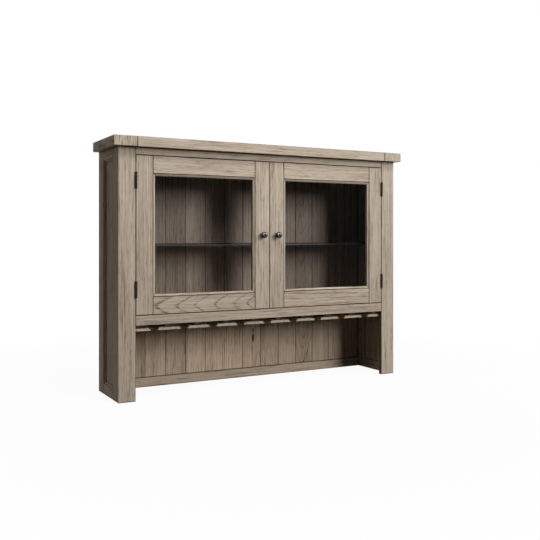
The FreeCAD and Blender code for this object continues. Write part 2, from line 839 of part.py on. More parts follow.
def make_hinge_leaf(name, level, hand, own_knuckles):
    """One leaf of a butt hinge, from its pin's axis. The hand is 1 for the door's leaf, -1 otherwise."""
    leaf = new_body(name, "hinge_axis", "hinge_axis_front", level)
    plate = rectangle("leaf_near", "barrel_stand", "leaf_far", "barrel_stand + leaf_width")
    prism(leaf, "XY", turned_to(hand, plate), "0", "hinge_length")
    neck = rectangle("leaf_near", "0", "leaf_far", "barrel_stand")
    for knuckle in own_knuckles:
        start = f"{knuckle} * hinge_length / {KNUCKLES} + knuckle_gap / 2"
        length = f"hinge_length / {KNUCKLES} - knuckle_gap"
        prism(leaf, "XY", turned_to(hand, neck), start, length)
        round_bar(leaf, "XY", ("0", "0"), "barrel_diameter / 2", start, length)
    round_bar(
        leaf, "XY", ("0", "0"), "bore_radius", "-overrun", "hinge_length + 2 * overrun", cut=True,
    )
    for screw in screw_levels("0"):
        turned(
            leaf, turned_to(hand, screw_hole_outline()), "H_Axis",
            ("0", "screw_row", screw), cut=True,
        )
    return leaf


def screw_hole_outline():
    """Half of the countersunk hole for a screw, along the leaf's thickness."""
    return [
        ("leaf_near - overrun", "0"),
        ("leaf_near - overrun", "screw_head_diameter / 2"),
        ("leaf_near", "screw_head_diameter / 2"),
        ("leaf_near + screw_head_height", "screw_diameter / 2"),
        ("leaf_far + overrun", "screw_diameter / 2"),
        ("leaf_far + overrun", "0"),
    ]


def make_hinge_screw(name, level, hand):
    """A countersunk screw that holds a leaf to the wood."""
    screw = new_body(name, "hinge_axis", "hinge_axis_front + screw_row", level)
    turned(screw, turned_to(hand, [
        ("leaf_near", "0"),
        ("leaf_near", "screw_head_diameter / 2"),
        ("leaf_near + screw_head_height", "screw_diameter / 2"),
        ("door_gap / 2 + screw_length", "screw_diameter / 2"),
        ("door_gap / 2 + screw_length", "0"),
    ]), "H_Axis")
    return screw


def make_hinges():
    """Two butt hinges for each door: leaves, pins and screws."""
    levels = ("lower_hinge", "upper_hinge")
    post_leaves, door_leaves, pins, post_screws, door_screws = [], [], [], [], []
    for level in levels:
        post_leaves.append(make_hinge_leaf("post_leaf", level, -1, range(0, KNUCKLES, 2)))
        door_leaves.append(make_hinge_leaf("door_leaf", level, 1, range(1, KNUCKLES, 2)))
        pin = new_body("hinge_pin", "hinge_axis", "hinge_axis_front", level)
        round_bar(pin, "XY", ("0", "0"), "hinge_pin_diameter / 2", "0", "hinge_length")
        pins.append(pin)
        for spot in screw_levels(level):
            post_screws.append(make_hinge_screw("post_screw", spot, -1))
            door_screws.append(make_hinge_screw("door_screw", spot, 1))
    for name, left in (
        ("hinge_post_leaves", post_leaves),
        ("hinge_pins", pins),
        ("hinge_post_screws", post_screws),
    ):
        half = group(f"{name}_left", left)
        keep(group(name, [half, mirrored(half, f"{name}_right")]))
    keep_pair(group("left_door_hinge_leaves", door_leaves))
    bolt = new_body("knob_bolt", "knob_place", "door_back", "door_middle_height")
    turned(bolt, [
        ("0", "knob_bolt_head_height"),
        ("knob_bolt_head_diameter / 2", "knob_bolt_head_height"),
        ("knob_bolt_head_diameter / 2", "0"),
        ("knob_bolt_diameter / 2", "0"),
        ("knob_bolt_diameter / 2", "-(door_thickness + knob_bolt_grip)"),
        ("0", "-(door_thickness + knob_bolt_grip)"),
    ], "V_Axis")
    keep_pair(group("left_door_screws", door_screws + [bolt]))


def make_catches():
    """A magnetic catch on the floor for each door, and the strike plate on the door."""
    catch = board(
        "catch_left", ("-catch_offset - catch_width", "catch_front", "floor_top"),
        ("catch_width", "catch_depth", "catch_height"),
    )
    keep(group("door_catches", [catch, mirrored(catch, "catch_right")]))
    keep_pair(board(
        "left_door_strike", ("-catch_offset - catch_width", "door_back", "door_bottom"),
        ("catch_width", "strike_thickness", "strike_height"),
    ))


def check_document():
    """Stops where an object has failed, a cut removes nothing or a sub-part isn't sound."""
    for item in doc.Objects:
        if {"Invalid", "Error"} & set(item.State):
            raise RuntimeError(f"{item.Label} is {item.State}")
    for cut in pockets:
        if cut.Shape.Volume >= cut.BaseFeature.Shape.Volume:
            raise RuntimeError(f"{cut.Label} cuts nothing")
    for node in nodes:
        if node.Shape.isNull() or not node.Shape.isValid() or not node.Shape.Solids:
            raise RuntimeError(f"{node.Label} has no valid shape")


def write_parts():
    """Writes each sub-part to its own file."""
    os.makedirs("parts", exist_ok=True)
    for node in nodes:
        node.Shape.exportStep(f"parts/{node.Label}.step")
        print(node.Label, len(node.Shape.Solids), "solids", round(node.Shape.Volume), "mm3")


fill_sheet()
make_top()
make_post()
make_front_rail("front_top_rail", "body_height - top_rail_height", "top_rail_height")
make_front_rail("front_bottom_rail", "bay_height", "bottom_rail_height")
make_side_stile("side_front_stile_left", "frame_back", "front_stile_width", True, "front_pin_place")
make_side_stile(
    "side_rear_stile_left", "back - rear_stile_width", "rear_stile_width", False, "rear_pin_place",
)
make_side_rail("side_bottom_rail_left", "0", "side_bottom_rail_height", False)
make_side_rail("side_top_rail_left", "body_height - side_top_rail_height", "side_top_rail_height", True)
make_side_panel()
make_side_moulding()
make_back_rail("back_bottom_rail", "0", False)
make_back_rail("back_top_rail", "body_height - back_rail_height", True)
make_back_boards()
make_floor()
make_rack()
make_shelf()
make_hinge_stile()
make_meeting_stile()
make_door_rails()
make_pane()
make_knob()
make_hinges()
make_catches()
doc.recompute()
check_document()
write_parts()
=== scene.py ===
"""Looks of the display cabinet: grey-brown oak, clear glass, dark metal, studio light and the camera.

Everything is in metres in the CAD frame: X to the right, Y to the back, Z up, front towards -Y.
"""
import functools
import math
import random

import bmesh
import bpy
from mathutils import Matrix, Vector


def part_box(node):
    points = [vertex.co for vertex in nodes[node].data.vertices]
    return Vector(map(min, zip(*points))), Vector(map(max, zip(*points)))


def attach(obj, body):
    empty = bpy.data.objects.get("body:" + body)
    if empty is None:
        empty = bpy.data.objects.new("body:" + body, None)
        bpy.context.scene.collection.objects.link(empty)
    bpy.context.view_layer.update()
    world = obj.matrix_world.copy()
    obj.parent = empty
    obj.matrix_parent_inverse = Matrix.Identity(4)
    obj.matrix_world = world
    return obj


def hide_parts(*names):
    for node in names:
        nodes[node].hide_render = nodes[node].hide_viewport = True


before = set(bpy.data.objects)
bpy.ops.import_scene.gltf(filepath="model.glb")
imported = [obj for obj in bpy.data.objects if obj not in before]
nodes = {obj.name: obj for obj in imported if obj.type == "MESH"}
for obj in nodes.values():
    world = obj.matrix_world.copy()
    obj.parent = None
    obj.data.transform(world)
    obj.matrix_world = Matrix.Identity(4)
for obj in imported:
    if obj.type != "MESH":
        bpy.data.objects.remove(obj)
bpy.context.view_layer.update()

SIDES = (("left", -1), ("right", 1))
X, Y, Z = 0, 1, 2


# Node trees

# Sockets of the Mix node that carry its factor, its two colours and its result.
MIX_FACTOR, MIX_FIRST, MIX_SECOND, MIX_RESULT = 0, 6, 7, 2


class Graph:
    """Short calls for building a node tree. Values are sockets or numbers."""

    def __init__(self, tree):
        self.tree = tree

    def node(self, kind, inputs=None, **settings):
        made = self.tree.nodes.new(kind)
        for name, setting in settings.items():
            setattr(made, name, setting)
        for key, given in (inputs or {}).items():
            self.feed(made.inputs[key], given)
        return made

    def feed(self, socket, given):
        if isinstance(given, bpy.types.NodeSocket):
            self.tree.links.new(given, socket)
        else:
            socket.default_value = given

    def math(self, operation, *values, clamp=False):
        made = self.node("ShaderNodeMath", dict(enumerate(values)), operation=operation)
        made.use_clamp = clamp
        return made.outputs[0]

    def add(self, a, b):
        return self.math("ADD", a, b)

    def times(self, a, b):
        return self.math("MULTIPLY", a, b)

    def divided(self, a, b):
        return self.math("DIVIDE", a, b)

    def root(self, value):
        return self.math("SQRT", value)

    def length(self, a, b):
        """The length of a vector with the parts a and b."""
        return self.root(self.add(self.times(a, a), self.times(b, b)))

    def opposite(self, value):
        """1 minus the value."""
        return self.math("SUBTRACT", 1.0, value)

    def centred(self, field, size):
        """A field from 0 to 1 made to swing by size about 0."""
        return self.times(self.add(field, -0.5), size)

    def join(self, x, y, z):
        return self.node("ShaderNodeCombineXYZ", {0: x, 1: y, 2: z}).outputs[0]

    def split(self, vector):
        return self.node("ShaderNodeSeparateXYZ", {0: vector}).outputs

    def object_place(self):
        return self.node("ShaderNodeTexCoord").outputs["Object"]

    def product(self, vector, factors):
        """Two vectors multiplied part by part."""
        return self.node("ShaderNodeVectorMath", {0: vector, 1: factors}, operation="MULTIPLY").outputs[0]

    def noise(self, vector, scale, detail=2.0, roughness=0.5):
        """Noise with a number of features per metre, or one for each direction."""
        factors = scale if isinstance(scale, tuple) else (scale, scale, scale)
        inputs = {
            "Vector": self.product(vector, factors), "Scale": 1.0, "Detail": detail, "Roughness": roughness,
        }
        return self.node("ShaderNodeTexNoise", inputs).outputs[0]

    def noise_along(self, value, scale):
        """Noise that depends on a single value."""
        made = self.node("ShaderNodeTexNoise", noise_dimensions="1D")
        for key, given in (("W", value), ("Scale", scale), ("Detail", 1.0)):
            self.feed(made.inputs[key], given)
        return made.outputs[0]

    def chance(self, value, offset):
        """A fixed random number from 0 to 1 for each whole value."""
        made = self.node("ShaderNodeTexWhiteNoise", noise_dimensions="2D")
        self.feed(made.inputs["Vector"], self.join(value, offset, 0.0))
        return made.outputs["Value"]

    def between(self, value, low, high, bottom=0.0, top=1.0):
        """Goes smoothly from bottom to top as the value goes from low to high."""
        inputs = {"Value": value, "From Min": low, "From Max": high, "To Min": bottom, "To Max": top}
        return self.node("ShaderNodeMapRange", inputs, interpolation_type="SMOOTHSTEP").outputs[0]

    def mix(self, factor, first, second):
        """A colour from first to second, each a socket or its red, green and blue."""
        made = self.node("ShaderNodeMix", {MIX_FACTOR: factor}, data_type="RGBA")
        for key, given in ((MIX_FIRST, first), (MIX_SECOND, second)):
            self.feed(made.inputs[key], (*given, 1.0) if isinstance(given, tuple) else given)
        return made.outputs[MIX_RESULT]

    def ramp(self, factor, stops):
        made = self.node("ShaderNodeValToRGB", {"Fac": factor})
        points = made.color_ramp.elements
        while len(points) < len(stops):
            points.new(0.5)
        for point, (place, colour) in zip(points, stops):
            point.position = place
            point.color = (*colour, 1.0)
        return made.outputs["Color"]

    def bump(self, height, strength, distance):
        inputs = {"Strength": strength, "Distance": distance, "Height": height}
        return self.node("ShaderNodeBump", inputs).outputs[0]

    def blend(self, factor, first, second):
        """A shader from first to second."""
        return self.node("ShaderNodeMixShader", {0: factor, 1: first, 2: second}).outputs[0]

    def principled(self, inputs, **constants):
        """A Principled shader, with the constants set on its own sockets."""
        shader = self.node("ShaderNodeBsdfPrincipled", inputs)
        for name, setting in constants.items():
            shader.inputs[name.replace("_", " ")].default_value = setting
        return shader.outputs[0]

    def finish(self, surface):
        self.node("ShaderNodeOutputMaterial", {"Surface": surface})


def new_material(name):
    made = bpy.data.materials.new(name)
    made.use_nodes = True
    made.node_tree.nodes.clear()
    return made, Graph(made.node_tree)


# Oak

OAK_INPUTS = (
    "Across", "Depth", "Along", "Pith across", "Pith depth", "Lean", "Vee", "Ring width",
    "Figure", "Tone", "Warmth", "Seed", "Depth share",
)
OAK_OUTPUTS = (("Colour", "Color"), ("Roughness", "Float"), ("Height", "Float"))
# From the dark pores of the early wood to the greyest late wood.
OAK_COLOURS = (
    (0.00, (0.070, 0.046, 0.030)),
    (0.25, (0.178, 0.130, 0.092)),
    (0.50, (0.328, 0.262, 0.199)),
    (0.72, (0.456, 0.380, 0.300)),
    (1.00, (0.600, 0.520, 0.428)),
)
# Features per metre across and along the grain, detail and roughness of each noise in the wood.
OAK_FIELDS = {
    "sway": (9.0, 2.2, 1.0, 0.5), "swell": (24.0, 6.0, 2.0, 0.5), "ripple": (130.0, 24.0, 1.0, 0.5),
    "break": (260.0, 12.0, 3.0, 0.5), "pore": (900.0, 30.0, 2.0, 0.6), "fibre": (260.0, 5.0, 4.0, 0.62),
    "streak": (95.0, 2.6, 3.0, 0.6), "dash": (170.0, 9.0, 2.0, 0.5), "fleck": (380.0, 26.0, 2.0, 0.5),
    "broad": (14.0, 1.6, 2.0, 0.5),
}
# Range of each noise over which its mark comes out, or over which a broken ring line gets whole.
APPEARS = {"break": (0.36, 0.60), "pore": (0.55, 0.68), "dash": (0.56, 0.70), "fleck": (0.55, 0.68)}
# How far, in metres, each field bends the rings.
RING_BENDS = {"sway": 0.034, "swell": 0.012, "ripple": 0.003}
# Rounding of a chevron's tip, in metres.
VEE_TIP = 0.013
# Rings get wider and narrower: features of that noise per ring, and how many rings it shifts them.
WANDER_SCALE, WANDER = 0.55, 1.2
# Share of a ring that is early wood, what a chevron has less of it, and where the next ring sets in.
EARLY_SHARE, VEE_LESS, NEXT_RING = 0.34, 0.12, 0.94
# Least and most strength of a ring, of its line as it breaks, and of pores as they near early wood.
RING_STRENGTH, BROKEN_STRENGTH, PORE_STRENGTH = (0.30, 1.0), (0.30, 1.15), (0.40, 1.0)
# This share of the rings are all equally faint.
FAINT_RINGS = 0.25
# The wood's mean level of lightness, how far each field swings it, and how far each mark lowers it.
MEAN_LEVEL = 0.775
SWINGS = {"fibre": 0.66, "streak": 0.60, "broad": 0.36}
LINE_DARK, DASH_DARK, FLECK_DARK, PORE_DARK = 0.46, 0.24, 0.20, 0.24
# How much of the warmth comes off the green. All of it comes off the blue.
GREEN_WARMTH = 0.45
# Levels between which the roughness changes, and its values there.
ROUGH_LEVELS, ROUGH_VALUES = (0.2, 0.9), (0.70, 0.52)
# Height of a fibre, and depths of a ring's line and of a pore, as shares of the relief.
FIBRE_HIGH, LINE_DEEP, PORE_DEEP = 0.35, 0.35, 1.0
# How far, in metres, each unit of the seed shifts the noise, and how many times as far along the grain.
SEED_STEP, SEED_ALONG = 3.17, 1.7


def make_oak_group():
    """Solid oak: growth rings round a leaning pith, pores and streaks along the grain."""
    tree = bpy.data.node_groups.new("oak_grain", "ShaderNodeTree")
    for name in OAK_INPUTS:
        tree.interface.new_socket(name=name, in_out="INPUT", socket_type="NodeSocketFloat")
    for name, kind in OAK_OUTPUTS:
        tree.interface.new_socket(name=name, in_out="OUTPUT", socket_type=f"NodeSocket{kind}")
    g = Graph(tree)
    given = g.node("NodeGroupInput").outputs
    across, depth, along = given["Across"], given["Depth"], given["Along"]
    shift = g.times(given["Seed"], SEED_STEP)
    place = g.join(
        g.add(across, shift), g.add(g.times(depth, given["Depth share"]), shift),
        g.add(along, g.times(shift, SEED_ALONG)),
    )
    field = {
        name: g.noise(place, (wide, wide, long), detail, roughness)
        for name, (wide, long, detail, roughness) in OAK_FIELDS.items()
    }

    # Rings are circles round the pith, or chevrons where the slope of a vee is given
    bend = functools.reduce(g.add, [g.centred(field[name], size) for name, size in RING_BENDS.items()])
    from_pith = g.add(g.add(across, g.times(given["Pith across"], -1.0)), bend)
    deep = g.add(g.add(depth, g.times(given["Pith depth"], -1.0)), g.times(given["Lean"], along))
    circle = g.length(from_pith, deep)
    rounded = g.root(g.add(g.times(from_pith, from_pith), VEE_TIP ** 2))
    chevron = g.add(deep, g.times(given["Vee"], rounded))
    is_vee = g.math("GREATER_THAN", given["Vee"], 0.0)
    radius = g.add(g.times(chevron, is_vee), g.times(circle, g.opposite(is_vee)))
    count = g.divided(radius, given["Ring width"])
    count = g.add(count, g.times(g.noise_along(g.add(count, shift), WANDER_SCALE), WANDER))
    phase = g.math("FRACT", count)
    ring = g.math("FLOOR", count)
    fading = g.between(phase, 0.0, g.add(EARLY_SHARE, g.times(is_vee, -VEE_LESS)), 1.0, 0.0)
    early = g.math("MAXIMUM", fading, g.between(phase, NEXT_RING, 1.0))
    strength = g.between(g.chance(ring, given["Seed"]), FAINT_RINGS, 1.0, *RING_STRENGTH)
    whole = g.between(field["break"], *APPEARS["break"], *BROKEN_STRENGTH)
    line = g.times(g.times(early, strength), whole)

    # Pores crowd in the early wood; dashes and flecks are dark marks anywhere
    crowded = g.between(early, 0.0, 1.0, *PORE_STRENGTH)
    pores = g.times(g.between(field["pore"], *APPEARS["pore"]), crowded)
    dash = g.between(field["dash"], *APPEARS["dash"])
    fleck = g.between(field["fleck"], *APPEARS["fleck"])
    level = MEAN_LEVEL
    for name, size in SWINGS.items():
        level = g.add(level, g.centred(field[name], size))
    for mark, size in ((g.times(line, given["Figure"]), LINE_DARK), (dash, DASH_DARK), (fleck, FLECK_DARK)):
        level = g.add(level, g.times(mark, -size))
    level = g.math("ADD", level, g.times(pores, -PORE_DARK), clamp=True)
    tone, warmth = given["Tone"], given["Warmth"]
    green = g.times(tone, g.add(1.0, g.times(warmth, -GREEN_WARMTH)))
    blue = g.times(tone, g.opposite(warmth))
    toned = g.product(g.ramp(level, OAK_COLOURS), g.join(tone, green, blue))

    rough = g.between(level, *ROUGH_LEVELS, *ROUGH_VALUES)
    dents = g.add(g.times(line, -LINE_DEEP), g.times(pores, -PORE_DEEP))
    height = g.add(g.times(field["fibre"], FIBRE_HIGH), dents)
    out = g.node("NodeGroupOutput")
    for (name, _), socket in zip(OAK_OUTPUTS, (toned, rough, height)):
        g.feed(out.inputs[name], socket)
    return tree


OAK = make_oak_group()
# Axes that run across, into and along the grain, for each direction of the grain.
GRAIN = {"x": (Z, Y, X), "y": (X, Z, Y), "z": (X, Y, Z), "side": (Y, X, Z), "side_y": (Z, X, Y)}
# How upright boards differ: least and most of the pith's place, lean, tone and share of the figure.
BOARD_PITH, BOARD_LEAN = (-0.10, 0.10), (-0.05, 0.05)
BOARD_TONE, BOARD_FIGURE = (0.88, 1.10), (0.6, 1.5)
# What keeps a board's draws apart, and the range of its own seed.
DRAW_STEP, BOARD_SEEDS = 7.0, 9.0
# The boards, counted from the middle, between which the tone changes, and its values there: darker towards
# both ends, partly the boards' own tone and partly painted shade.
TONE_AND_SHADE_LEFT, TONE_AND_SHADE_RIGHT = (-6.5, -3.5, 0.80, 1.18), (-1.5, 2.5, 1.0, 0.76)
# A smaller speck above a knot: how many lengths up, and how much narrower and shorter than the knot.
SPECK_UP, SPECK_NARROWER, SPECK_SHORTER = 1.75, 1.6, 1.9
# How far the grain swings aside next to a knot, in its own widths, and how fast that fades.
KNOT_SWING, KNOT_FADE = 0.5, 0.22
# Noise that makes a knot's edge ragged, how much it does, and where the dark starts to fade and ends.
KNOT_NOISE, KNOT_RAGGED, KNOT_EDGE = (400.0, 400.0, 120.0), 0.9, (0.75, 1.25)
KNOT_COLOUR, KNOT_COVER = (0.020, 0.013, 0.009), 0.9
# A seam's colour, how far from it the dark starts to fade and ends, and how much it covers.
SEAM_COLOUR, SEAM_FADE, SEAM_COVER = (0.042, 0.028, 0.019), (0.0005, 0.0018), 0.80
# Painted shade in corners, grooves and joints, where little of the view round a point is open: its colour,
# its reach, the open shares where it is full and gone, and its cover.
PAINTED_SHADE_COLOUR, PAINTED_SHADE_REACH, PAINTED_SHADE_OPEN, PAINTED_SHADE_COVER = (0.030, 0.021, 0.015), 0.005, (0.74, 0.99), 0.88
GRAIN_RELIEF, RELIEF_STRENGTH, OAK_SHINE = 0.0004, 0.35, 0.08


def vary_boards(g, across, width, look, crown):
    """Gives each upright board its own pith, tone and figure, darker towards both ends partly by painted
    shade, and one of them a nest of chevrons.
    """
    index = g.math("FLOOR", g.divided(across, width))
    draws = [g.chance(index, look["Seed"] + DRAW_STEP * draw) for draw in range(5)]
    pith_draw, lean_draw, tone_draw, seed_draw, figure_draw = draws
    here = g.math("COMPARE", index, crown["board"], 0.25)
    other = g.opposite(here)
    pith_across = g.between(pith_draw, 0.0, 1.0, *BOARD_PITH)
    lean = g.between(lean_draw, 0.0, 1.0, *BOARD_LEAN)
    tone = g.times(g.between(tone_draw, 0.0, 1.0, *BOARD_TONE), look["Tone"])
    # Partly painted shade: the boards get darker towards both ends of the row.
    for change in (TONE_AND_SHADE_LEFT, TONE_AND_SHADE_RIGHT):
        tone = g.times(tone, g.between(index, *change))
    figure = g.between(figure_draw, 0.0, 1.0, *(look["Figure"] * share for share in BOARD_FIGURE))
    look.update({
        "Pith across": g.add(g.times(pith_across, other), g.times(here, crown["across"])),
        "Lean": g.add(g.times(lean, other), g.times(here, crown["lean"])),
        "Vee": g.times(here, crown["vee"]),
        "Tone": tone,
        "Seed": g.add(g.times(seed_draw, BOARD_SEEDS), look["Seed"]),
        "Figure": g.add(figure, g.times(here, crown["figure"])),
    })
    return g.math("SUBTRACT", across, g.times(g.add(index, 0.5), width))


def shape_knot(g, place, across, along, knot):
    """How far the grain swings aside round a knot, and how dark the knot and its speck are."""
    aside = g.divided(g.add(across, -knot["across"]), knot["width"])
    ahead = g.divided(g.add(along, -knot["along"]), knot["length"])
    off = g.length(aside, ahead)
    speck = g.length(g.times(aside, SPECK_NARROWER), g.times(g.add(ahead, -SPECK_UP), SPECK_SHORTER))
    near = g.math("EXPONENT", g.times(g.times(off, off), -KNOT_FADE))
    swing = g.times(near, g.times(aside, -KNOT_SWING * knot["width"]))
    edge = g.add(g.math("MINIMUM", off, speck), g.centred(g.noise(place, KNOT_NOISE), KNOT_RAGGED))
    return swing, g.between(edge, *KNOT_EDGE, 1.0, 0.0)


def oak(
    name, grain, pith=(0.0, 0.09), lean=0.0, vee=0.0, ring=0.006, figure=0.3, tone=1.0, warmth=0.0,
    seed=0.0, depth_share=1.0, boards=None, knot=None, crown=None, seams=(),
):
    """Oak whose grain runs one way. The pith is measured from the row frame's own origin.

    Seams are planes, each an axis and a place on it, where glaze has gathered in a joint.
    """
    material, g = new_material(name)
    place = g.object_place()
    parts = g.split(place)
    across, depth, along = (parts[axis] for axis in GRAIN[grain])
    look = {
        "Pith across": pith[0], "Pith depth": pith[1], "Lean": lean, "Vee": vee, "Ring width": ring,
        "Figure": figure, "Tone": tone, "Warmth": warmth, "Seed": seed, "Depth share": depth_share,
    }
    grown_across = vary_boards(g, across, boards, look, crown) if boards else across
    if knot:
        swing, knot_shade = shape_knot(g, place, across, along, knot)
        grown_across = g.add(grown_across, swing)
    look.update({"Across": grown_across, "Depth": depth, "Along": along})
    grown = g.node("ShaderNodeGroup", node_tree=OAK)
    for key, value in look.items():
        g.feed(grown.inputs[key], value)
    colour = grown.outputs["Colour"]
    if knot:
        colour = g.mix(g.times(knot_shade, KNOT_COVER), colour, KNOT_COLOUR)
    for axis, seam in seams:
        away = g.math("ABSOLUTE", g.add(parts[axis], -seam))
        colour = g.mix(g.between(away, *SEAM_FADE, SEAM_COVER, 0.0), colour, SEAM_COLOUR)
    # Painted shade: the oak is darkened in corners and grooves by how little of the view round it is open.
    open_share = g.node("ShaderNodeAmbientOcclusion", {"Distance": PAINTED_SHADE_REACH}, samples=4).outputs["AO"]
    unshaded = g.between(open_share, *PAINTED_SHADE_OPEN)
    colour = g.mix(unshaded, g.mix(PAINTED_SHADE_COVER, colour, PAINTED_SHADE_COLOUR), colour)
    normal = g.bump(grown.outputs["Height"], RELIEF_STRENGTH, GRAIN_RELIEF)
    inputs = {"Base Color": colour, "Roughness": grown.outputs["Roughness"], "Normal": normal}
    g.finish(g.principled(inputs, Specular_IOR_Level=OAK_SHINE))
    return material


# Glass and metal

BLACK = (0.0, 0.0, 0.0)
# Film on the panes: features per metre, range of its noise, and what it lets through at both ends.
FILM_SCALE, FILM_RANGE, FILM_PASSES = 6.0, (0.35, 0.70), (1.0, 0.97)
# The shelf's painted shade, a near-black band on its upper front arris where the edge only looks dark: how
# far below the top its fade starts and ends, and how far back it goes.
SHELF_PAINTED_SHADE_FADE, SHELF_PAINTED_SHADE_DEEP = (0.0042, 0.0036), 0.0015
SHELF_PAINTED_SHADE_COLOUR = (0.010, 0.0095, 0.009)
# The shelf's ground back edge and its two colours.
GROUND_DEEP, GROUND_SCALE = 0.0004, 400.0
GROUND_DARK, GROUND_PALE = (0.80, 0.77, 0.73), (0.90, 0.87, 0.83)
# The strip of the shelf next to its back edge, and what that lets through.
BACK_STRIP, BACK_SHADE = 0.013, (0.95, 0.95, 0.93)
# Metal: range of its mottling, factors of the roughness at both ends, how much finer the fine noise is.
MOTTLE_RANGE, MOTTLE_ROUGHNESS, FINER = (0.3, 0.7), (1.2, 0.8), 7
# What the fine noise adds to a metal's roughness and to its relief, and the relief's height in metres.
FINE_ROUGHNESS, FINE_RELIEF, METAL_RELIEF = 0.12, 0.3, 0.0003


def pass_light(g, seen, shade, dim):
    """Lets lamps through glass by shade and bounced light by dim, where the eye sees another shader."""
    path = g.node("ShaderNodeLightPath").outputs
    colour = g.mix(path["Is Diffuse Ray"], shade, dim)
    clear = g.node("ShaderNodeBsdfTransparent", {"Color": colour}).outputs[0]
    unseen = g.math("MAXIMUM", path["Is Shadow Ray"], path["Is Diffuse Ray"])
    return g.blend(unseen, seen, clear)


def make_pane(name, tint, shade, dim, bend):
    """Clear glass under a faint uneven film, with tint for what one face lets the eye see through."""
    material, g = new_material(name)
    film = g.between(g.noise(g.object_place(), FILM_SCALE, detail=3.0), *FILM_RANGE, *FILM_PASSES)
    colour = g.mix(film, BLACK, tint)
    glass = g.principled({"Base Color": colour}, Roughness=0.0, IOR=bend, Transmission_Weight=1.0)
    g.finish(pass_light(g, glass, shade, dim))
    return material


def make_shelf(name, tint, shade, dim, bend):
    """Plate glass with painted shade, a near-black band on its upper front arris, and a ground back edge,
    near which more light passes.
    """
    low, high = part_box("glass_shelf")
    material, g = new_material(name)
    place = g.object_place()
    parts = g.split(place)
    upper = g.between(parts[Z], *(high.z - below for below in SHELF_PAINTED_SHADE_FADE))
    front = g.math("LESS_THAN", parts[Y], low.y + SHELF_PAINTED_SHADE_DEEP)
    # Painted shade: the glass is made near black along the upper front arris.
    colour = g.mix(g.times(upper, front), tint, SHELF_PAINTED_SHADE_COLOUR)
    glass = g.principled({"Base Color": colour}, Roughness=0.0, IOR=bend, Transmission_Weight=1.0)
    frost = g.mix(g.noise(place, GROUND_SCALE), GROUND_DARK, GROUND_PALE)
    ground = g.principled({"Base Color": frost}, Roughness=0.7, IOR=1.3)
    at_back = g.math("GREATER_THAN", parts[Y], high.y - GROUND_DEEP)
    near_back = g.math("GREATER_THAN", parts[Y], high.y - BACK_STRIP)
    shade = g.mix(near_back, shade, BACK_SHADE)
    g.finish(pass_light(g, g.blend(at_back, glass, ground), shade, dim))
    return material


def make_metal(name, dark, light, rough, grain, metallic=1.0, bump=0.25):
    """Metal with a mottled finish; grain is the size of its mottling in features per metre."""
    material, g = new_material(name)
    place = g.object_place()
    mottle = g.noise(place, grain, detail=4.0, roughness=0.6)
    fine = g.noise(place, grain * FINER)
    colour = g.mix(g.between(mottle, *MOTTLE_RANGE), dark, light)
    roughness = g.between(mottle, *MOTTLE_RANGE, *(rough * factor for factor in MOTTLE_ROUGHNESS))
    roughness = g.add(roughness, g.centred(fine, FINE_ROUGHNESS))
    normal = g.bump(g.add(mottle, g.times(fine, FINE_RELIEF)), bump, METAL_RELIEF)
    inputs = {"Base Color": colour, "Roughness": roughness, "Normal": normal}
    g.finish(g.principled(inputs, Metallic=metallic))
    return material


PANE = make_pane("pane_glass", (0.85, 0.855, 0.88), (0.80, 0.805, 0.83), (0.41, 0.40, 0.39), 1.09)
SHELF = make_shelf("shelf_glass", (0.87, 0.875, 0.86), (0.10, 0.10, 0.095), (0.17, 0.17, 0.165), 1.22)
PEWTER = make_metal("pewter", (0.030, 0.028, 0.031), (0.056, 0.053, 0.059), 0.24, 90.0, bump=0.06)
BRONZE = make_metal("hinge_bronze", (0.026, 0.021, 0.017), (0.050, 0.042, 0.034), 0.42, 160.0)
ZINC = make_metal("zinc", (0.42, 0.42, 0.43), (0.60, 0.60, 0.61), 0.35, 220.0)
PLASTIC = make_metal("catch_plastic", (0.10, 0.068, 0.048), (0.14, 0.098, 0.070), 0.55, 300.0, metallic=0.0)


# Finish of the CAD nodes

